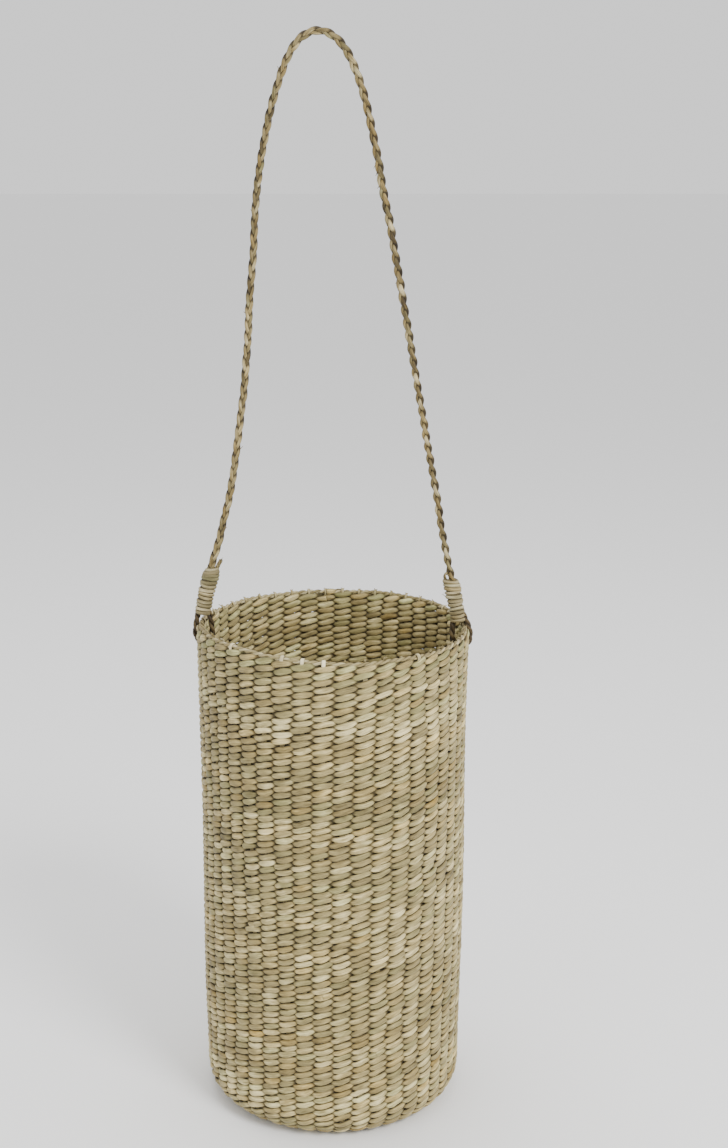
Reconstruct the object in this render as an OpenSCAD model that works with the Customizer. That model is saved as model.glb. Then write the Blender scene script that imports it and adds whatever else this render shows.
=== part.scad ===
// Twined seagrass storage basket with a plaited bail handle.
// It stands on z = 0 with its axis on Z, and the handle's two eyes lie in the plane y = 0.

/* [Woven body] */
// Outer radius of the wall at its top
rim_r = 109; // [100:1:112]
// Outer radius of the wall where it leaves the base corner
base_r = 107; // [100:1:109]
// Height of the top of the last woven round
weave_z = 400.4; // [380:0.1:401]
// Outer radius of the rounded corner between base and wall
corner_r = 22; // [16:1:26]
// Thickness of the weave: two weft strands with a stake between them
wall_t = 7; // [6:0.5:7]

/* [Stakes] */
// Number of stakes round the wall
stake_count = 44; // [40:4:44]
// Width of a stake
stake_w = 4.4; // [3:0.1:4.6]
// Thickness of a stake
stake_t = 1.6; // [1:0.1:2]
// Where the first stakes leave the centre mat
first_r = 20; // [20:1:24]
// Where the added stakes are pushed in beside the first ones
added_r = 48; // [46:1:60]

/* [Rim] */
// Radius of the core strand that the stakes fold over
core_r = 1.8; // [1.2:0.1:2]
// Thickness of a folded stake end
fold_t = 1.25; // [0.8:0.05:1.3]

/* [Eyes] */
// Radius of the rope loop that passes through the wall
eye_r = 2.4; // [2:0.1:2.4]
// Height of the left hole in the wall
left_hole_z = 393.5; // [388:0.5:394]
// Height of the right hole in the wall
right_hole_z = 390; // [386:0.5:392]

/* [Handle] */
// Outer radius of a lashing
lash_r = 6.7; // [6.4:0.1:7]
// Length of a lashing above its eye
lash_len = 34; // [32:1:36]
// Turns of strand in a lashing above the knuckle
lash_turns = 10; // [8:1:12]
// Radius of the plaited rope
rope_r = 3.4; // [3:0.1:3.6]
// Radius of the rope where the lashing squeezes it
squeezed_r = 2.4; // [2:0.1:2.4]
// Radius of the doubled-back rope tail
tail_r = 1.9; // [1.5:0.1:1.9]

/* [Hidden] */
$fn = 96;

weave_colour = [0.63, 0.58, 0.46];
stake_colour = [0.74, 0.69, 0.55];
rope_colour = [0.56, 0.51, 0.40];
eye_colour = [0.36, 0.30, 0.19];

stake_gap = 0.15;                       // room between a stake and the weave round it
mid = wall_t / 2;                       // depth of the stakes inside the weave
corner_in = corner_r - mid - stake_t / 2;  // inner radius of a stake's bend
corner_x = base_r - corner_r;           // where the flat base ends
wall_rounds = 7;                        // lengths of wall woven from one pair of wefts
binding_h = 3.4;                        // height of the last, locking round
wall_z = weave_z - binding_h;           // top of the plain rounds
round_h = (wall_z - corner_r) / wall_rounds;
core_z = weave_z + stake_gap + core_r;  // centre of the rim core
core_x = rim_r - mid;
fold_r = core_r + stake_gap + fold_t;   // outer radius of a stake end folded over the core
step = 360 / stake_count;

left_pivot = [-104.5, 0, 420];          // centre of each eye's top bar, on the swing axis
right_pivot = [101, 0, 412];
axis_tilt = atan2(left_pivot[2] - right_pivot[2], right_pivot[0] - left_pivot[0]);
left_lean = 11.5;                       // each lashing leans in from upright
right_lean = 10.5;
bar_half = 6.2;                         // half the length of an eye's top bar
eye_out = rim_r + eye_r + 0.2;          // outer and inner legs of an eye, clear of the wall
eye_in = rim_r - wall_t - eye_r - 0.3;
bend_left_z = 408;                      // where the legs start to close in on the bar
bend_right_z = 404.5;

swing_gap = 0.3;                        // room round the bar, so that the lashing turns on it
knuckle_len = 6.8;
knuckle_r = 5.2;
lash_start = 4;                         // the full turns start this far above the bar
squeeze_start = 7;                      // rope and tail end this far above the bar
rope_off = -0.8;                        // rope and tail lie side by side in the lashing
tail_off = 3.6;
tail_stub = 7;                          // length of tail that shows above the lashing
tail_lean = 38;                         // the stub leans away from the rope beside it
droop_z = 490;                          // height of the bend line across both legs
droop_gap = 0.4;
rope_sides = 12;

// Centreline of the rope, from the left bend over the top to the right bend.
loop_route = [[-88, droop_z], [-83, 510], [-79, 531], [-76, 552], [-73, 574], [-70, 596],
              [-68, 618], [-66, 640], [-65, 662], [-63, 684], [-61, 706], [-60, 728],
              [-58, 750], [-55, 771], [-51, 792], [-46, 813], [-40, 832], [-34, 847],
              [-27, 858], [-19, 864], [-11, 866], [-3, 864], [5, 858], [12, 848],
              [18, 835], [24, 817], [29, 796], [34, 773], [38, 750], [43, 727],
              [47, 706], [51, 684], [55, 662], [59, 640], [63, 618], [67, 596],
              [71, 574], [75, 552], [79, 531], [83, 510], [86, droop_z]];
// The rope between each lashing's top and its bend.
left_route = [[-98, 455], [-95, 464], [-91, 477], [-88, droop_z]];
right_route = [[95, 447], [92, 460], [89, 475], [86, droop_z]];

function wall_x(z) = base_r + (rim_r - base_r) * (z - corner_r) / (weave_z - corner_r);

// Outline of one stake in its radial plane: along the base, round the corner and up the wall.
module base_strip(start_r, t) {
    translate([start_r, mid - t / 2]) square([corner_x - start_r, t]);
}

module corner_strip(outer, inner) {
    translate([corner_x, corner_r]) intersection() {
        difference() {
            circle(outer);
            circle(inner);
        }
        translate([0, -corner_r]) square(corner_r);
    }
}

module wall_strip(t) {
    top_z = weave_z + 0.1;
    polygon([[base_r - mid - t / 2, corner_r], [base_r - mid + t / 2, corner_r],
             [core_x + t / 2, top_z], [core_x - t / 2, top_z]]);
}

// The stake's end goes up inside the core strand, over it and down its outside.
module fold_outline() {
    translate([core_x, core_z]) difference() {
        circle(fold_r);
        circle(core_r + stake_gap);
        translate([stake_t / 2, -fold_r]) square(fold_r * 0.75);
        translate([-fold_r, weave_z + 0.02 - core_z - fold_r]) square([2 * fold_r, fold_r]);
    }
}

module stake(start_r) {
    rotate([90, 0, 0]) linear_extrude(stake_w, center = true) union() {
        base_strip(start_r, stake_t);
        corner_strip(corner_in + stake_t, corner_in);
        wall_strip(stake_t);
        fold_outline();
    }
}

// Channels that the weave leaves round the stakes; every second stake is an added one.
module channel(i) {
    rotate((i + 0.5) * step) rotate([90, 0, 0])
        linear_extrude(stake_w + 2 * stake_gap, center = true) children();
}

module base_channels() {
    for (i = [0 : stake_count - 1]) channel(i) translate([stake_gap, 0])
        base_strip((i % 2 == 0 ? first_r : added_r) - 1, stake_t + 2 * stake_gap);
}

module wall_channels() {
    for (i = [0 : stake_count - 1]) channel(i) wall_strip(stake_t + 2 * stake_gap);
}

module wall_round(low, high) {
    color(weave_colour) difference() {
        rotate_extrude() polygon([[wall_x(low) - wall_t, low], [wall_x(low), low],
                                  [wall_x(high), high], [wall_x(high) - wall_t, high]]);
        wall_channels();
    }
}

module base_disc(inner, outer) {
    color(weave_colour) difference() {
        cylinder(h = wall_t, r = outer);
        translate([0, 0, -1]) cylinder(h = wall_t + 2, r = inner);
        base_channels();
    }
}

// Plaited start of the base, where the first stakes cross.
module base_centre() {
    color(weave_colour) translate([0, 0, 1]) cylinder(h = wall_t - 1, r = first_r - 0.2);
}

module base_round_inner() { base_disc(first_r, added_r); }

module base_round_outer() { base_disc(added_r, corner_x); }

// The rounds that turn the base up into the wall: outside and inside passes of the wefts,
// with the stakes bent round between them.
module base_corner() {
    color(weave_colour) rotate_extrude() {
        corner_strip(corner_r, corner_in + stake_t + stake_gap);
        corner_strip(corner_in - stake_gap, corner_r - wall_t);
    }
}

module plain_round(i) { wall_round(corner_r + (i - 1) * round_h, corner_r + i * round_h); }

module wall_round_1() { plain_round(1); }
module wall_round_2() { plain_round(2); }
module wall_round_3() { plain_round(3); }
module wall_round_4() { plain_round(4); }
module wall_round_5() { plain_round(5); }
module wall_round_6() { plain_round(6); }

// The top round has the two holes that the eyes pass through.
module wall_round_7() {
    color(weave_colour) difference() {
        plain_round(wall_rounds);
        translate([-rim_r - 5, 0, left_hole_z]) rotate([0, 90, 0])
            cylinder(h = 20, r = eye_r + 0.1);
        translate([rim_r - 15, 0, right_hole_z]) rotate([0, 90, 0])
            cylinder(h = 20, r = eye_r + 0.1);
    }
}

module rim_binding() { wall_round(wall_z, weave_z); }

module stakes_first() {
    color(stake_colour) for (i = [0 : 2 : stake_count - 1]) rotate((i + 0.5) * step)
        stake(first_r);
}

module stakes_added() {
    color(stake_colour) for (i = [1 : 2 : stake_count - 1]) rotate((i + 0.5) * step)
        stake(added_r);
}

module rim_core() {
    color(stake_colour) rotate_extrude() translate([core_x, core_z]) circle(core_r);
}

// A straight length of rope in the plane y = 0, with a bend at its start.
module rope_leg(a, b, r, bend_r) {
    translate([a[0], 0, a[1]]) rotate([0, atan2(b[0] - a[0], b[1] - a[1]), 0]) {
        cylinder(h = norm(b - a), r = r, $fn = 48);
        sphere(bend_r, $fn = 48);
    }
}

// Closed rope loop: through the wall, up both of its sides and across the top bar.
module eye(pivot, side, hole_z, bend_z) {
    drop = bar_half * sin(axis_tilt) * side;
    out_top = [pivot[0] + side * bar_half * cos(axis_tilt), pivot[2] - drop];
    in_top = [pivot[0] - side * bar_half * cos(axis_tilt), pivot[2] + drop];
    points = [out_top, [side * eye_out, bend_z], [side * eye_out, hole_z],
              [side * eye_in, hole_z], [in_top[0], bend_z], in_top];
    color(eye_colour) union() for (i = [0 : len(points) - 1])
        rope_leg(points[i], points[(i + 1) % len(points)], eye_r, eye_r + 0.1);
}

module left_eye() { eye(left_pivot, -1, left_hole_z, bend_left_z); }
module right_eye() { eye(right_pivot, 1, right_hole_z, bend_right_z); }

// Flat strand wound round rope and tail; its lowest turns form a knuckle on the eye's bar.
module lashing(pivot, lean, side) {
    pitch = (lash_len - lash_start) / lash_turns;
    turn_r = pitch / 2 + 0.2;
    color(weave_colour) translate(pivot) difference() {
        union() {
            rotate([0, -side * lean, 0]) translate([0, 0, lash_start]) rotate_extrude() {
                square([lash_r - turn_r, lash_len - lash_start]);
                for (i = [0 : lash_turns - 1])
                    translate([lash_r - turn_r, (i + 0.5) * pitch]) circle(turn_r, $fn = 24);
            }
            rotate([0, axis_tilt, 0]) rotate([0, 90, 0])
                cylinder(h = knuckle_len, r = knuckle_r, center = true);
        }
        rotate([0, axis_tilt, 0]) rotate([0, 90, 0])
            cylinder(h = 4 * knuckle_len, r = eye_r + swing_gap, center = true);
        rotate([0, -side * lean, 0]) translate([0, 0, squeeze_start - 0.2]) {
            translate([-side * rope_off, 0, 0]) cylinder(h = lash_len, r = squeezed_r + 0.1);
            translate([-side * tail_off, 0, 0]) cylinder(h = lash_len, r = tail_r + 0.1);
        }
    }
}

module left_lashing() { lashing(left_pivot, left_lean, -1); }
module right_lashing() { lashing(right_pivot, right_lean, 1); }

// End of the rope, doubled back up inside the lashing beside the rope itself.
module tail(pivot, lean, side) {
    color(rope_colour) translate(pivot) rotate([0, -side * lean, 0])
        translate([-side * tail_off, 0, squeeze_start]) {
            cylinder(h = lash_len - squeeze_start, r = tail_r);
            translate([0, 0, lash_len - squeeze_start]) rotate([0, -side * tail_lean, 0]) {
                sphere(tail_r + 0.05);
                cylinder(h = tail_stub, r = tail_r - 0.05);
                translate([0, 0, tail_stub]) sphere(tail_r);
            }
        }
}

module left_tail() { tail(left_pivot, left_lean, -1); }
module right_tail() { tail(right_pivot, right_lean, 1); }

// Sweep of a round rope along points in the plane y = 0, with a radius at each point.
function at(p, i) = p[max(0, min(len(p) - 1, i))];
function unit(v) = v / norm(v);
function heading(p, i) = unit(at(p, i + 1) - at(p, i - 1));
module tube(p, radii, sides) {
    rings = [for (i = [0 : len(p) - 1]) let (h = heading(p, i), r = radii[i])
             for (k = [0 : sides - 1]) let (a = 360 * k / sides)
             [p[i][0] + r * cos(a) * h[1], r * sin(a), p[i][1] - r * cos(a) * h[0]]];
    last = (len(p) - 1) * sides;
    walls = [for (i = [0 : len(p) - 2]) for (k = [0 : sides - 1])
             [i * sides + k, (i + 1) * sides + k,
              (i + 1) * sides + (k + 1) % sides, i * sides + (k + 1) % sides]];
    polyhedron(rings, concat([[for (k = [0 : sides - 1]) k]],
                             [[for (k = [sides - 1 : -1 : 0]) last + k]], walls));
}

// Shortens a route's last stretch, which leaves room for the bend.
function trimmed(p, cut) = let (n = len(p) - 1, h = unit(p[n] - p[n - 1]))
    [for (i = [0 : n]) i < n ? p[i] : p[n] - cut * h];

module rope_end(pivot, lean, side, route) {
    color(rope_colour) {
        translate(pivot) rotate([0, -side * lean, 0])
            translate([-side * rope_off, 0, squeeze_start])
                cylinder(h = lash_len - squeeze_start + 3, r = squeezed_r);
        tube(trimmed(route, rope_r + droop_gap),
             [for (i = [0 : len(route) - 1]) i == 0 ? squeezed_r + 0.1 : rope_r], rope_sides);
    }
}

module left_rope_end() { rope_end(left_pivot, left_lean, -1, left_route); }
module right_rope_end() { rope_end(right_pivot, right_lean, 1, right_route); }

// The long plaited loop, with a round end on each bend line.
module handle_rope() {
    n = len(loop_route) - 1;
    dome = [75, 50, 25];
    start = heading(loop_route, 0);
    end = heading(loop_route, n);
    points = concat([for (a = dome) loop_route[0] - rope_r * sin(a) * start], loop_route,
                    [for (i = [2 : -1 : 0]) loop_route[n] + rope_r * sin(dome[i]) * end]);
    radii = concat([for (a = dome) rope_r * cos(a)], [for (p = loop_route) rope_r],
                   [for (i = [2 : -1 : 0]) rope_r * cos(dome[i])]);
    color(rope_colour) tube(points, radii, rope_sides);
}

base_centre();
base_round_inner();
base_round_outer();
base_corner();
wall_round_1();
wall_round_2();
wall_round_3();
wall_round_4();
wall_round_5();
wall_round_6();
wall_round_7();
rim_binding();
stakes_first();
stakes_added();
rim_core();
left_eye();
right_eye();
left_lashing();
right_lashing();
left_tail();
right_tail();
left_rope_end();
right_rope_end();
handle_rope();
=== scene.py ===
"""Seagrass storage basket with a plaited rope handle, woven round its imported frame."""
import math

import bpy
import numpy as np
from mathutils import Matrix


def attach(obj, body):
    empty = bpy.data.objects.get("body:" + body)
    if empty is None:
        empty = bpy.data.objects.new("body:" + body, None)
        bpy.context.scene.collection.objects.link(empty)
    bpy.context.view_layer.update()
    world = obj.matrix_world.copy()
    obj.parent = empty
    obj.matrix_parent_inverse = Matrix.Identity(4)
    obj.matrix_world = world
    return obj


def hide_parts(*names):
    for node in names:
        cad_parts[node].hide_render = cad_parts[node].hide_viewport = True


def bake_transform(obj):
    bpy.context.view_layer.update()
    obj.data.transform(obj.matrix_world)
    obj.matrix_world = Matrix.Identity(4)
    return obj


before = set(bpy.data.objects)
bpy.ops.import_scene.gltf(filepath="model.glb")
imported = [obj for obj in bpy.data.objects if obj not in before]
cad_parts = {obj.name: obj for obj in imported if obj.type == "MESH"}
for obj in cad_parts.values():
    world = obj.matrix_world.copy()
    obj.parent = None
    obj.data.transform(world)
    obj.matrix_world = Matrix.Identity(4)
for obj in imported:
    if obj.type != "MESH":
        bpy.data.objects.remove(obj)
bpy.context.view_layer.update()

# ------------------------------------------------------------------ camera
# It stands in front of the basket, a little below the handle's top, and looks down
# into the mouth. The shift sets the basket left of the middle.
camera_data = bpy.data.cameras.new("camera")
camera_data.sensor_width = 36.0
camera_data.lens = 52.97
camera_data.shift_x = 0.027
camera = bpy.data.objects.new("camera", camera_data)
camera.location = (0.0, -1.32, 0.78)
camera.rotation_euler = (math.radians(90.0 - 14.11), 0.0, 0.0)
bpy.context.scene.collection.objects.link(camera)
bpy.context.scene.camera = camera

# ------------------------------------------------------------ handle: plaited rope
# One long rope of three seagrass strands in a flat plait, stiff enough to stand up.
# It leaves the left lashing, arches over the mouth and goes into the right lashing.
rope_width = 0.0068
plait_period = 0.031
strand_wide = 0.00166
strand_thick = 0.00130
plait_side = rope_width / 2 - strand_wide
plait_depth = 0.00112
rope_twist = math.radians(52)
rope_route = [
    (-0.098, 0.455), (-0.095, 0.464), (-0.091, 0.477), (-0.088, 0.490),
    (-0.083, 0.510), (-0.079, 0.531), (-0.076, 0.552), (-0.073, 0.574),
    (-0.070, 0.596), (-0.068, 0.618), (-0.066, 0.640), (-0.065, 0.662),
    (-0.063, 0.684), (-0.061, 0.706), (-0.060, 0.728), (-0.058, 0.750),
    (-0.055, 0.771), (-0.051, 0.792), (-0.046, 0.813), (-0.040, 0.832),
    (-0.034, 0.847), (-0.027, 0.858), (-0.019, 0.864), (-0.011, 0.866),
    (-0.003, 0.864), (0.005, 0.858), (0.012, 0.848), (0.018, 0.835),
    (0.024, 0.817), (0.029, 0.796), (0.034, 0.773), (0.038, 0.750),
    (0.043, 0.727), (0.047, 0.706), (0.051, 0.684), (0.055, 0.662),
    (0.059, 0.640), (0.063, 0.618), (0.067, 0.596), (0.071, 0.574),
    (0.075, 0.552), (0.079, 0.531), (0.083, 0.510), (0.086, 0.490),
    (0.089, 0.475), (0.092, 0.460), (0.095, 0.447)]


def smooth_line(points, steps):
    """Curve through all the points, with so many steps from each to the next."""
    p = np.array(points, float)
    p = np.vstack([2 * p[0] - p[1], p, 2 * p[-1] - p[-2]])
    t = np.arange(steps)[:, None] / steps
    parts = []
    for a, b, c, d in zip(p[:-3], p[1:-2], p[2:-1], p[3:]):
        bend = (2 * a - 5 * b + 4 * c - d) * t ** 2
        parts.append(0.5 * (2 * b + (c - a) * t + bend + (3 * b - a - 3 * c + d) * t ** 3))
    return np.vstack(parts + [p[-2:-1]])


def unit(v):
    return v / np.maximum(np.linalg.norm(v, axis=-1, keepdims=True), 1e-12)


def run_length(line):
    """Distance along a line of points, from its start to each of them."""
    return np.concatenate([[0.0], np.cumsum(np.linalg.norm(np.diff(line, axis=0), axis=1))])


def strip(line, out, wide, thick, sides=8, tone=0.5, hue=0.0, painted_front_light=None, both=0.0):
    """A closed oval strip of seagrass swept along a line. out is the way its flat face
    looks, wide and thick are half its width and half its thickness. The sides where it
    lies against its neighbours get painted shade, a darker colour. The next to last
    argument paints light on its front and its negative on its back, and the last adds
    painted light to either. Without them the flat faces are painted lit and the edges
    painted shaded."""
    n = len(line)
    ahead = unit(np.gradient(line, axis=0))
    out = np.broadcast_to(out, (n, 3))
    out = unit(out - (out * ahead).sum(1, keepdims=True) * ahead)
    across = np.cross(ahead, out)
    angle = 2 * np.pi * np.arange(sides) / sides
    a = np.broadcast_to(wide, n)[:, None] * np.cos(angle)
    b = np.broadcast_to(thick, n)[:, None] * np.sin(angle)
    points = line[:, None] + across[:, None] * a[..., None] + out[:, None] * b[..., None]
    along = np.broadcast_to(run_length(line)[:, None], a.shape)
    lay = np.stack([along, a, b], -1)
    ring = np.arange(n - 1)[:, None] * sides
    k = np.arange(sides)
    after = (k + 1) % sides
    walls = np.stack([ring + k, ring + sides + k, ring + sides + after, ring + after], -1)
    caps = [list(range(sides)), list(range(n * sides - 1, (n - 1) * sides - 1, -1))]
    # Painted light for the material: where it is low, the colour is darkened as painted shade.
    painted_light = np.abs(np.sin(angle)) if painted_front_light is None else \
        painted_front_light[:, None] * np.sin(angle) + both * np.abs(np.sin(angle))
    look = np.stack([np.broadcast_to(np.reshape(part, (-1, 1)), a.shape)
                     for part in (tone, hue)] + [np.broadcast_to(painted_light, a.shape)], -1)
    return points.reshape(-1, 3), walls.reshape(-1, 4), caps, lay.reshape(-1, 3), \
        look.reshape(-1, 3)


def strips_object(name, strips, material):
    """All the strips as one mesh. The attribute lay keeps each point's place in its own
    strip, in metres, and the attribute look its tone, its hue and its painted light,
    which is low where the colour is darkened as painted shade."""
    faces, base = [], 0
    for points, walls, caps, lay, look in strips:
        faces += (walls + base).tolist() + [[i + base for i in cap] for cap in caps]
        base += len(points)
    mesh = bpy.data.meshes.new(name)
    mesh.from_pydata(np.vstack([s[0] for s in strips]).tolist(), [], faces)
    seeded = [s[3] + [7.3 * i, 0, 0] for i, s in enumerate(strips)]
    look = np.vstack([s[4] for s in strips])
    for key, values in (("lay", np.vstack(seeded)), ("look", look)):
        made = mesh.attributes.new(key, "FLOAT_VECTOR", "POINT")
        made.data.foreach_set("vector", values.astype(np.float32).ravel())
    mesh.shade_smooth()
    mesh.materials.append(material)
    made = bpy.data.objects.new(name, mesh)
    bpy.context.scene.collection.objects.link(made)
    return made


def seagrass(name, dark, middle, pale, streaks, painted_shade_lift=0.22):
    """Dried seagrass: each stalk's own tone, fine fibres along it, some stalks greener
    or more golden, a dry matt surface with a faint sheen, and painted shade that darkens
    the colour where the strip's painted light is low."""
    material = bpy.data.materials.new(name)
    material.use_nodes = True
    nodes, links = material.node_tree.nodes, material.node_tree.links
    shader = nodes["Principled BSDF"]
    shader.inputs["Specular IOR Level"].default_value = 0.28
    shader.inputs["Sheen Weight"].default_value = 0.08
    shader.inputs["Sheen Roughness"].default_value = 0.5

    def add(kind, **values):
        node = nodes.new(kind)
        for key, value in values.items():
            setattr(node, key, value)
        return node

    def math_node(operation, first, second):
        node = add("ShaderNodeMath", operation=operation)
        for socket, value in zip(node.inputs, (first, second)):
            if isinstance(value, (int, float)):
                socket.default_value = value
            else:
                links.new(value, socket)
        return node.outputs[0]

    def noise(vector, scale, detail, roughness):
        node = add("ShaderNodeTexNoise")
        node.inputs["Scale"].default_value = scale
        node.inputs["Detail"].default_value = detail
        node.inputs["Roughness"].default_value = roughness
        links.new(vector, node.inputs["Vector"])
        return node.outputs["Fac"]

    lay = add("ShaderNodeAttribute", attribute_name="lay").outputs["Vector"]
    look = add("ShaderNodeSeparateXYZ")
    links.new(add("ShaderNodeAttribute", attribute_name="look").outputs["Vector"],
              look.inputs[0])
    stretch = add("ShaderNodeMapping")
    stretch.inputs["Scale"].default_value = (90.0, 1500.0, 1500.0)
    links.new(lay, stretch.inputs["Vector"])
    fibre = noise(stretch.outputs[0], 1.0, 3.0, 0.6)
    patch_map = add("ShaderNodeMapping")
    patch_map.inputs["Scale"].default_value = (120.0, 260.0, 260.0)
    links.new(lay, patch_map.inputs["Vector"])
    patch = noise(patch_map.outputs[0], 1.0, 2.0, 0.5)

    tone = math_node("ADD", look.outputs[0],
                     math_node("MULTIPLY", math_node("SUBTRACT", fibre, 0.5), streaks))
    tone = math_node("ADD", tone, math_node("MULTIPLY", math_node("SUBTRACT", patch, 0.5), 0.55))
    ramp = add("ShaderNodeValToRGB")
    ramp.color_ramp.elements[0].color = (*dark, 1)
    ramp.color_ramp.elements[1].color = (*pale, 1)
    ramp.color_ramp.elements.new(0.5).color = (*middle, 1)
    links.new(tone, ramp.inputs[0])

    def tinted(colour, side, tint):
        mix = add("ShaderNodeMix", data_type="RGBA", blend_type="MULTIPLY")
        links.new(math_node("MAXIMUM", math_node("MULTIPLY", look.outputs[1], side), 0.0),
                  mix.inputs["Factor"])
        links.new(colour, mix.inputs["A"])
        mix.inputs["B"].default_value = (*tint, 1)
        return mix.outputs["Result"]

    colour = tinted(ramp.outputs[0], 1.0, (1.0, 0.80, 0.36))
    colour = tinted(colour, -1.0, (0.74, 0.92, 0.78))
    # Painted shade: the colour is mixed towards dark brown where the look attribute's third
    # value, the painted light, is low; the last argument lifts the darkest of it.
    shadow = add("ShaderNodeMapRange", interpolation_type="SMOOTHSTEP")
    shadow.inputs["From Min"].default_value = -0.15
    shadow.inputs["From Max"].default_value = 0.80
    shadow.inputs["To Min"].default_value = 1.0 - painted_shade_lift
    shadow.inputs["To Max"].default_value = 0.0
    links.new(look.outputs[2], shadow.inputs["Value"])
    shaded = add("ShaderNodeMix", data_type="RGBA", blend_type="MULTIPLY")
    links.new(shadow.outputs[0], shaded.inputs["Factor"])
    links.new(colour, shaded.inputs["A"])
    shaded.inputs["B"].default_value = (0.10, 0.075, 0.035, 1)
    links.new(shaded.outputs["Result"], shader.inputs["Base Color"])
    rough_range = add("ShaderNodeMapRange")
    rough_range.inputs["To Min"].default_value = 0.52
    rough_range.inputs["To Max"].default_value = 0.76
    links.new(fibre, rough_range.inputs["Value"])
    links.new(rough_range.outputs[0], shader.inputs["Roughness"])
    bump = add("ShaderNodeBump")
    bump.inputs["Strength"].default_value = 0.55
    bump.inputs["Distance"].default_value = 0.0004
    links.new(math_node("ADD", fibre, math_node("MULTIPLY", patch, 0.5)),
              bump.inputs["Height"])
    links.new(bump.outputs[0], shader.inputs["Normal"])
    return material


rope_seagrass = seagrass("rope_seagrass", (0.045, 0.030, 0.009), (0.215, 0.165, 0.068),
                         (0.62, 0.53, 0.30), 1.1, 0.08)
rng = np.random.default_rng(11)
rope_line = smooth_line([(x, 0.0, z) for x, z in rope_route], 20)
hidden = unit(rope_line[0] - rope_line[1]) * 0.006
rope_line = np.vstack([rope_line[0] + hidden, rope_line, rope_line[-1] + hidden * [-1, 1, 1]])
rope_at = run_length(rope_line)
rope_ahead = unit(np.gradient(rope_line, axis=0))
face = np.broadcast_to([0.0, -1.0, 0.0], rope_line.shape)
edge = np.cross(rope_ahead, face)
twist = rope_twist * np.clip(rope_at / rope_at[-1] * 1.6 - 0.35, 0, 1)[:, None]
rope_face = face * np.cos(twist) + edge * np.sin(twist)
rope_edge = np.cross(rope_ahead, rope_face)
pace = 1 + 0.10 * np.interp(rope_at, np.linspace(0, rope_at[-1], 24), rng.uniform(-1, 1, 24))
plait_turn = 2 * np.pi * np.concatenate([[0], np.cumsum(pace[1:] * np.diff(rope_at))]) \
    / plait_period


def along_rope(values):
    """Values that change slowly from one end of the rope to the other."""
    return np.interp(rope_at, np.linspace(0, rope_at[-1], len(values)), values)


stout = along_rope([0.94, 0.92, 0.90, 0.98, 1.08, 1.10, 1.08])
plait = []
for number in range(3):
    turn = plait_turn + 2 * np.pi * number / 3
    line = rope_line + rope_edge * (plait_side * np.sin(turn))[:, None] \
        + rope_face * (plait_depth * np.sin(2 * turn))[:, None]
    # Painted shade: each strand is painted lit on the face that lies on top in the plait and
    # darker on the face that lies under, with some painted light added on both faces.
    plait.append(strip(
        line, rope_face + 0.5 * rope_edge * np.sin(turn)[:, None],
        strand_wide * stout * along_rope(rng.uniform(0.84, 1.12, 110)),
        strand_thick * stout * along_rope(rng.uniform(0.84, 1.08, 110)), 10,
        0.43 + along_rope(rng.normal(0, 0.17, 90)), along_rope(rng.normal(0.05, 0.24, 50)),
        np.sin(2 * turn), 0.55))
for share in (0.06, 0.13, 0.235, 0.31, 0.42, 0.655, 0.66, 0.665, 0.67, 0.74, 0.83, 0.9):
    start = int(share * len(rope_line))
    inner = 1.0 if share > 0.5 else rng.choice([-1.0, 1.0])
    aim = unit(rope_edge[start] * inner * 0.8 + rope_ahead[start] * rng.uniform(0.4, 1.2)
               + [0, rng.normal(0, 0.5), 0])
    hair = rope_line[start] + rope_edge[start] * inner * 0.0022 \
        + aim * np.linspace(0, rng.uniform(0.002, 0.0042), 5)[:, None]
    plait.append(strip(hair, np.array([0, -1.0, 0]), 0.00042 * np.linspace(1, 0.4, 5), 0.0002,
                       5, 0.35))
handle_plait = strips_object("handle_plait", plait, rope_seagrass)
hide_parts("handle_rope", "left_rope_end", "right_rope_end")
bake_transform(handle_plait)

# ------------------------------------------------------------ woven base and wall
# Two flat seagrass wefts, twined round the stakes in one long spiral from the middle of
# the base, round the corner and up to the rim. Each length of the spiral is one pair of
# pieces, one for each weft.
turn_height = 0.0054
middle_height = 0.0042
base_end, corner_radius = 0.085, 0.0188
wall_low, wall_high, wall_length = 0.1038, 0.1072, 0.3800
stake_count, sparse_stitches = 44, 130
stake_step = 2 * np.pi / stake_count
weft_depth, weft_rise = 0.00225, 0.00152
crossing_wide, open_extra, wide_spread = 0.00158, 0.00122, 0.0026
crossing_thick, open_thinner = 0.00165, 0.00025
stitch_steps = 8
last_turn = 2 * np.pi * 88.25
corner_length = corner_radius * np.pi / 2
weave_end = base_end + corner_length + wall_length


def smooth_step(value, low, high):
    t = np.clip((value - low) / (high - low), 0, 1)
    return t * t * (3 - 2 * t)


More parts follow.
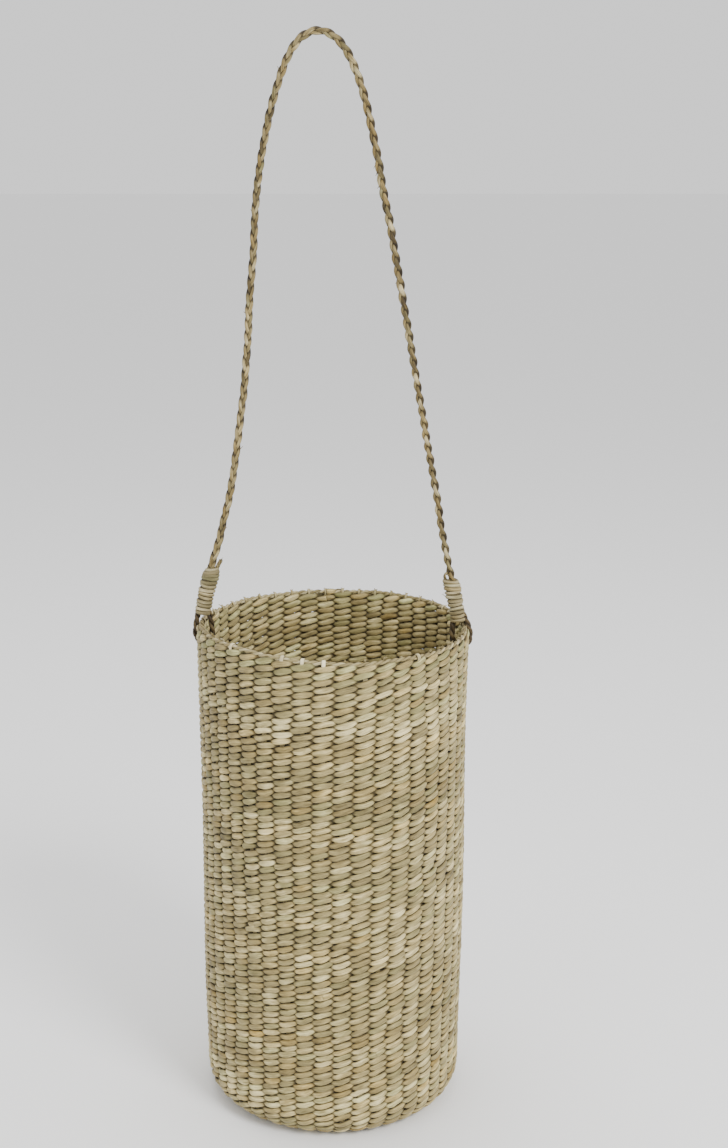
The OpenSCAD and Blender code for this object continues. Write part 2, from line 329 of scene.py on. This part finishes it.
def surface(along, azimuth, depth):
    """A point of the basket. along is the distance from the middle of the base, out and
    up the middle of the wall, and depth is how far the point stands outside that. The
    rim rises at the front left and the wall is a little uneven."""
    along, azimuth, depth = np.broadcast_arrays(along, azimuth, depth)
    azimuth = azimuth + 0.014 * np.sin(11 * along + 3 * azimuth) * smooth_step(along, 0.1, 0.2)
    bend = np.clip((along - base_end) / corner_length, 0, 1) * np.pi / 2
    up = np.clip(along - base_end - corner_length, 0, None)
    r = np.minimum(along, base_end) + (corner_radius + depth) * np.sin(bend) \
        + (wall_high - wall_low) * up / wall_length
    z = middle_height + corner_radius - (corner_radius + depth) * np.cos(bend) + up
    away = np.abs((azimuth - math.radians(215) + np.pi) % (2 * np.pi) - np.pi)
    rise = 0.0062 * np.cos(np.clip(away / math.radians(72), 0, 1) * np.pi / 2) ** 2 \
        + 0.0020 * np.clip(np.sin(azimuth), 0, 1)
    uneven = 0.0006 * np.sin(2 * azimuth + 14 * z) + 0.0004 * np.sin(5 * azimuth - 23 * z)
    r = r + uneven * smooth_step(z, 0.02, 0.1)
    z = z + rise * smooth_step(z, 0.27, 0.40) \
        + 0.0006 * np.sin(3 * azimuth + 30 * z) * smooth_step(z, 0.03, 0.1)
    return np.stack([r * np.cos(azimuth), r * np.sin(azimuth), z], -1)


def outward(along, azimuth, depth):
    return unit(surface(along, azimuth, depth + 1e-4) - surface(along, azimuth, depth - 1e-4))


def stitch_azimuth(stitch):
    """Azimuth after so many stitches. The first of them go round every second stake,
    because the added stakes aren't there yet."""
    return stake_step * (0.5 + 2 * np.minimum(stitch, sparse_stitches)
                         + np.maximum(stitch - sparse_stitches, 0))


def weft_along(azimuth):
    """The spiral's distance from the middle of the base. Its last rows are evened out,
    so that the rim comes out level."""
    along = weave_end - turn_height * (last_turn - azimuth) / (2 * np.pi)
    part = (azimuth / (2 * np.pi) - 0.25) % 1
    level = np.interp(part, [0, 0.035, 0.965, 1], [0, 0.465, -0.465, 0])
    return along + turn_height * level * smooth_step(along, weave_end - 0.07, weave_end - 0.006)


rng = np.random.default_rng(5)
stitches = 3770
stitch_number = np.arange(stitches + 1)
row_tone = np.interp(stitch_number, np.arange(0, stitches + 90, 83),
                     rng.normal(0, 0.075, len(range(0, stitches + 90, 83))))
weft_look = []
for number in range(2):
    slow = row_tone + np.interp(stitch_number, np.arange(0, stitches + 60, 37),
                                rng.normal(0, 0.05, len(range(0, stitches + 60, 37))))
    golden = np.interp(stitch_number, np.arange(0, stitches + 60, 17),
                       rng.normal(0.0, 0.2, len(range(0, stitches + 60, 17))))
    hue = golden + rng.normal(0, 0.10, stitches + 1)
    hue[rng.integers(0, stitches, 26)] = rng.uniform(0.5, 0.95, 26)
    weft_look.append({"tone": np.minimum(0.50 + slow + rng.normal(0, 0.11, stitches + 1), 0.86),
                      "hue": hue,
                      "high": rng.normal(0, 0.00033, stitches + 1),
                      "tilt": rng.normal(0, 0.00042, stitches + 1),
                      "wide": rng.uniform(0.87, 1.13, stitches + 1),
                      "deep": rng.normal(0, 0.00012, stitches + 1)})
crossing_shift = rng.normal(0, 0.08, stitches + 1)


def weft(first, last, number):
    """One weft from one stitch to another. It is outside every second stake, and crosses
    the other weft between the stakes."""
    stitch = np.arange(first * stitch_steps, last * stitch_steps + 1) / stitch_steps
    look = {key: np.interp(stitch, stitch_number, values)
            for key, values in weft_look[number].items()}
    swing = np.cos(np.pi * (stitch + number))
    depth = weft_depth * swing * np.sqrt(1.6 / (swing ** 2 + 0.6)) + look["deep"]
    rise = (weft_rise + look["tilt"] * np.abs(swing)) * np.sin(np.pi * (stitch + number)) \
        + look["high"] * swing ** 2
    azimuth = stitch_azimuth(stitch)
    along = weft_along(azimuth) + rise
    azimuth = azimuth + np.interp(stitch, stitch_number, crossing_shift) * stake_step
    open_way = np.abs(swing)
    wide = crossing_wide + open_extra * open_way ** 0.7 \
        + wide_spread * (look["wide"] - 1) * open_way ** 2
    thick = crossing_thick - open_thinner * open_way
    # Painted shade: each stitch is painted lit on the face that lies outside and darker on the
    # face turned in, and darker towards the crossings between the stakes.
    return strip(surface(along, azimuth, depth), outward(along, azimuth, depth), wide, thick,
                 8, look["tone"], look["hue"], swing / np.sqrt(swing ** 2 + 0.10))


weft_seagrass = seagrass("weft_seagrass", (0.088, 0.064, 0.022), (0.355, 0.285, 0.122),
                         (0.97, 0.83, 0.44), 0.95, 0.15)
bands = [("base_round_inner", 0.048), ("base_round_outer", base_end),
         ("base_corner", base_end + corner_length)]
bands += [(f"wall_round_{i}", base_end + corner_length + 0.375 / 7 * i) for i in range(1, 7)]
bands += [("wall_round_7", weave_end - turn_height), ("rim_binding", weave_end)]
azimuths = stitch_azimuth(stitch_number)
first = 0
for band, band_end in bands:
    turns_left = (weave_end - band_end) / turn_height
    last = int(np.searchsorted(azimuths, last_turn - 2 * np.pi * turns_left))
    for number, letter in enumerate("ab"):
        length = strips_object(f"weft_{letter}_{band}", [weft(first, last, number)],
                               weft_seagrass)
        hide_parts(band)
        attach(length, "basket")
    first = last

# ------------------------------------------------------------ base centre
# Eleven split stakes cross in a small check weave, six one way and five the other. Their
# ends go on outward as the first 22 stakes.
stake_wide, stake_thick = 0.0022, 0.0008
mat_pitch = 0.0047
stake_seagrass = seagrass("stake_seagrass", (0.10, 0.072, 0.026), (0.33, 0.265, 0.120),
                          (0.84, 0.76, 0.50), 0.7)
mat = []
for count, other, quarter in ((6, 5, 0), (5, 6, 1)):
    for i in range(count):
        run = np.linspace(-0.0185, 0.0185, 61)
        side = np.full(61, (i - (count - 1) / 2) * mat_pitch)
        inside = np.clip((other * mat_pitch / 2 + 0.001 - np.abs(run)) / 0.001, 0, 1)
        wave = np.cos(np.pi * (run / mat_pitch + (other - 1) / 2 + i + quarter))
        height = middle_height + 0.00085 * wave * inside
        line = np.stack([run, side, height], -1)[:, [1, 0, 2] if quarter else [0, 1, 2]]
        mat.append(strip(line, np.array([0, 0, 1.0]), stake_wide, stake_thick, 8,
                         0.45 + 0.12 * rng.normal(), 0.1 * rng.normal()))
base_mat = strips_object("base_mat", mat, stake_seagrass)
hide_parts("base_centre")
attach(base_mat, "basket")

# ------------------------------------------------------------ stakes
# Split seagrass, 22 from the base's centre and 22 added between them further out. Each
# goes up inside the rim core and bends over it. Most are cut off there and leave a small
# frayed nub, and a few are folded right down outside.
fold_path = [(0.0, -0.0070), (-0.0004, -0.0045), (-0.0015, -0.0026), (-0.0022, -0.0008),
             (-0.0021, 0.0008), (-0.0012, 0.0019), (0.0002, 0.0023), (0.0015, 0.0018),
             (0.0023, 0.0006), (0.0025, -0.0008), (0.0021, -0.0024), (0.0015, -0.0040)]
core_along = weave_end + 0.0010
folded_down = (27, 30, 31, 32, 37)
for which, start in (("first", 0.0150), ("added", 0.0470)):
    folded = []
    for i in range(0 if which == "first" else 1, stake_count, 2):
        azimuth = (i + 0.5) * stake_step
        rise = np.arange(start, core_along - 0.0075, 0.0016)
        path = fold_path if i in folded_down else fold_path[:6] + [
            (-0.0004 + 0.0006 * rng.random(), 0.0022 + 0.0010 * rng.random())]
        fold = smooth_line([(d, core_along + a) for d, a in path], 3)
        along = np.concatenate([rise, fold[:, 1]])
        depth = np.concatenate([0 * rise, fold[:, 0]])
        thin = np.clip((along - core_along + 0.006) / 0.004, 0, 1)
        line = surface(along, azimuth, depth)
        turned = np.array([-math.sin(azimuth), math.cos(azimuth), 0])
        look_out = np.cross(turned, unit(np.gradient(line, axis=0)))
        pale = 0.5 + 0.12 * rng.normal() + (0.35 if i in folded_down else 0.0) * thin
        narrow = 0.25 if i in folded_down else 0.45
        folded.append(strip(line, look_out, stake_wide * (1 - narrow * thin),
                            stake_thick - 0.0002 * thin, 8, pale, 0.12 * rng.normal()))
        for k in range(0 if i in folded_down else 3):
            hair = line[-1] + turned * rng.normal(0, 0.0008) + np.linspace(-0.001, 1, 5)[
                :, None] * np.array([*(rng.normal(0, 0.0008, 2)), rng.uniform(0.0, 0.0011)])
            folded.append(strip(hair, np.array([0, 1.0, 0]), 0.0003, 0.0002, 5, 0.35))
    stakes = strips_object(f"stakes_{which}_woven", folded, stake_seagrass)
    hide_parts(f"stakes_{which}")
    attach(stakes, "basket")

# ------------------------------------------------------------ rim core
# Two thin strands laid round each other on the last row all the way round, held by the
# stakes. Their ends overlap at the back.
azimuth = np.radians(np.arange(96, 459, 0.6))
core_strands = []
for k in range(2):
    turn = 52 * azimuth + np.pi * k + 0.8 * np.sin(5 * azimuth)
    core_depth = 0.00075 * np.cos(turn) + 0.0003 * np.sin(7 * azimuth)
    core_rise = core_along + 0.00085 * np.sin(turn) + 0.0003 * np.sin(11 * azimuth + 1)
    core_strands.append(strip(
        surface(core_rise, azimuth, core_depth), outward(core_rise, azimuth, core_depth),
        0.00118, 0.00104, 8, 0.46 + 0.16 * np.sin(3.1 * azimuth + 2 * k),
        0.1 * np.sin(2.3 * azimuth + k)))
rim_strand = strips_object("rim_strand", core_strands, stake_seagrass)
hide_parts("rim_core")
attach(rim_strand, "basket")

# ------------------------------------------------------------ eyes
# A short dark two-strand rope at each side, passed through a gap in the wall near the
# rim. Its two ends go up into the lashing, so the handle swings in it.
eye_rope_radius = 0.0025
eye_routes = {
    "left": [(-0.1030, 0.4270), (-0.1016, 0.4205), (-0.0998, 0.4130), (-0.0984, 0.4050),
             (-0.0982, 0.3985), (-0.0996, 0.3944), (-0.1030, 0.3934), (-0.1070, 0.3934),
             (-0.1098, 0.3940), (-0.1115, 0.3980), (-0.1112, 0.4050), (-0.1099, 0.4125),
             (-0.1083, 0.4200), (-0.1062, 0.4270)],
    "right": [(0.1010, 0.4200), (0.0987, 0.4128), (0.0972, 0.4060), (0.0968, 0.3990),
              (0.0974, 0.3934), (0.0998, 0.3902), (0.1035, 0.3898), (0.1075, 0.3899),
              (0.1098, 0.3908), (0.1114, 0.3950), (0.1110, 0.4015), (0.1088, 0.4078),
              (0.1060, 0.4138), (0.1034, 0.4200)]}


def twisted_rope(line, radius, pitch, count, start, tones, hue=0.0):
    """Strips for so many strands laid round each other along a line in the plane y = 0."""
    ahead = unit(np.gradient(line, axis=0))
    level = np.array([0.0, 1.0, 0.0])
    beside = unit(np.cross(ahead, level))
    made = []
    for k in range(count):
        turn = (2 * np.pi * (run_length(line) / pitch + k / count) + start)[:, None]
        away = beside * np.cos(turn) + level * np.sin(turn)
        made.append(strip(line + away * radius * 0.48, away, radius * 0.66, radius * 0.52, 8,
                          tones[k], hue))
    return made


eye_seagrass = seagrass("eye_seagrass", (0.016, 0.009, 0.003), (0.072, 0.046, 0.016),
                        (0.30, 0.225, 0.095), 1.2, 0.10)
for side, route in eye_routes.items():
    line = smooth_line([(x, 0.0, z) for x, z in route], 6)
    rope_eye = strips_object(f"{side}_eye_rope", twisted_rope(
        line, eye_rope_radius, 0.015, 2, 0.9, [0.52, 0.40]), eye_seagrass)
    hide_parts(f"{side}_eye")
    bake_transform(rope_eye)

# ------------------------------------------------------------ lashings
# A flat pale strand wound 11 or 12 times round the rope, its doubled-back end and the
# eye's ends, from the bottom up. Inside lies the bundle that it binds.
lashing_routes = {
    "left": [(-0.1054, 0.4158), (-0.1043, 0.4230), (-0.1027, 0.4310), (-0.1007, 0.4390),
             (-0.0988, 0.4465), (-0.0976, 0.4525)],
    "right": [(0.1018, 0.4078), (0.1008, 0.4150), (0.0993, 0.4225), (0.0977, 0.4300),
              (0.0962, 0.4375), (0.0950, 0.4435)]}
lashing_seagrass = seagrass("lashing_seagrass", (0.070, 0.050, 0.018), (0.25, 0.203, 0.098),
                            (0.70, 0.62, 0.40), 1.0, 0.06)
rng = np.random.default_rng(23)
for side, route in lashing_routes.items():
    spine = smooth_line([(x, 0.0, z) for x, z in route], 60)
    turns = 12.4 if side == "left" else 11.3
    part = np.linspace(0, 1, len(spine))
    wave = np.interp(part, np.linspace(0, 1, 34), rng.uniform(-1, 1, 34))
    half = np.interp(part, [0, 0.12, 0.55, 0.8, 0.92, 1],
                     [0.0052, 0.0054, 0.0057, 0.0060, 0.0052, 0.0040]) + 0.00028 * wave
    if side == "right":
        half = np.interp(part, [0, 0.1, 0.4, 0.7, 0.9, 1],
                         [0.0047, 0.0052, 0.0051, 0.0058, 0.0058, 0.0046]) + 0.00028 * wave
    deep = half * 0.72
    hand = -1 if side == "left" else 1
    turn = hand * (2 * np.pi * turns * part + 0.7 * wave)
    ahead = unit(np.gradient(spine, axis=0))
    level = np.array([0.0, 1.0, 0.0])
    beside = unit(np.cross(level, ahead))
    tip = np.cos(turn) * half * (0.05 + 0.28 * part + 0.12 * wave) * -hand
    ring = spine + beside * (half * np.cos(turn))[:, None] \
        + level * (deep * np.sin(turn))[:, None] + ahead * tip[:, None]
    out = beside * (np.cos(turn) / half)[:, None] + level * (np.sin(turn) / deep)[:, None]
    shade = np.interp(part, np.linspace(0, 1, 30), rng.normal(0.5, 0.12, 30))
    tint = np.interp(part, np.linspace(0, 1, 14), rng.normal(-0.02, 0.15, 14))
    wound = [strip(ring, unit(out), 0.00152 + 0.00022 * wave, 0.00128, 10, shade, tint)]
    taper = np.sqrt(np.clip(1 - (2 * part - 1) ** 8, 0.01, 1))
    wound.append(strip(spine, level, (half - 0.0003) * taper, (deep - 0.0003) * taper, 12,
                       0.1, 0.0))
    winding = strips_object(f"{side}_winding", wound, lashing_seagrass)
    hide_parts(f"{side}_lashing")
    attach(winding, "handle_legs")

# ------------------------------------------------------------ tails
# The rope's own end, doubled back and caught by the lashing. On the left its cut end
# stands out beside the rope, on the right it shows as a small loop with frayed fibres.
left_tail_line = smooth_line([(-0.0985, 0, 0.4400), (-0.0955, 0, 0.4480),
                              (-0.0935, 0, 0.4530), (-0.0915, 0, 0.4570),
                              (-0.0900, 0, 0.4598)], 6)
right_tail_line = smooth_line([(0.0942, 0, 0.4350), (0.0915, 0, 0.4420), (0.0901, 0, 0.4455),
                               (0.0906, 0, 0.4482), (0.0932, 0, 0.4484),
                               (0.0943, 0, 0.4455), (0.0945, 0, 0.4400)], 6)
for side, line, size in (("left", left_tail_line, 0.0017), ("right", right_tail_line, 0.0013)):
    strands = twisted_rope(line, size, 0.011, 3 if side == "left" else 2, 0.3,
                           [0.45, 0.55, 0.38])
    tip = line[-1] if side == "left" else np.array([0.0912, 0.0, 0.4440])
    for k in range(9 if side == "left" else 12):
        if side == "right":
            tip = np.array([0.0912 + 0.001 * rng.normal(), 0, rng.uniform(0.428, 0.449)])
        aim = np.array([-1.0 if side == "right" else 0.4, rng.normal(0, 0.6),
                        rng.uniform(-0.7, 0.9) if side == "right" else 1.0])
        hair = tip + rng.normal(0, 0.0005, 3) + unit(aim) * np.linspace(
            -0.0015, rng.uniform(0.0015, 0.0045 if side == "right" else 0.003), 5)[:, None]
        hair[:, 2] -= np.linspace(0, 1, 5) ** 2 * 0.0006
        strands.append(strip(hair, np.array([0, 0, 1.0]), 0.00022 * np.linspace(1, 0.4, 5),
                             0.00014 * np.linspace(1, 0.4, 5), 5, 0.3 + 0.2 * rng.random()))
    rope_tail = strips_object(f"{side}_tail_rope", strands, rope_seagrass)
    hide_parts(f"{side}_tail")
    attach(rope_tail, "handle_legs")

# ------------------------------------------------------------ lights and floor
# A plain pale floor under a white sky, a broad soft light from the right in front, a
# weaker one from the left and one from above that reaches into the mouth.
world = bpy.data.worlds.new("studio")
world.use_nodes = True
world.node_tree.nodes["Background"].inputs["Color"].default_value = (1, 1, 1, 1)
world.node_tree.nodes["Background"].inputs["Strength"].default_value = 1.1
bpy.context.scene.world = world
for name, place, size, power in (("key", (1.3, -1.7, 1.9), 1.0, 66.0),
                                 ("fill", (-1.8, -1.6, 1.1), 1.6, 6.0),
                                 ("top", (-0.2, 0.5, 2.4), 1.4, 20.0)):
    lamp = bpy.data.lights.new(name, "AREA")
    lamp.shape = "DISK"
    lamp.size = size
    lamp.energy = power
    holder = bpy.data.objects.new(name, lamp)
    holder.location = place
    aim = np.array([0.0, 0.0, 0.28]) - place
    holder.rotation_euler = (math.acos(aim[2] / np.linalg.norm(aim)) - math.pi, 0.0,
                             math.atan2(aim[1], aim[0]) + math.pi / 2)
    bpy.context.scene.collection.objects.link(holder)
bpy.ops.object.select_all(action="DESELECT")
bpy.ops.mesh.primitive_plane_add(size=60.0, location=(0.0, 0.0, 0.0))
floor = bpy.context.object
floor.name = "floor"
floor_white = bpy.data.materials.new("floor_white")
floor_white.use_nodes = True
floor_shader = floor_white.node_tree.nodes["Principled BSDF"]
floor_shader.inputs["Base Color"].default_value = (0.92, 0.92, 0.92, 1)
floor_shader.inputs["Roughness"].default_value = 0.9
floor_shader.inputs["Specular IOR Level"].default_value = 0.1
floor.data.materials.append(floor_white)
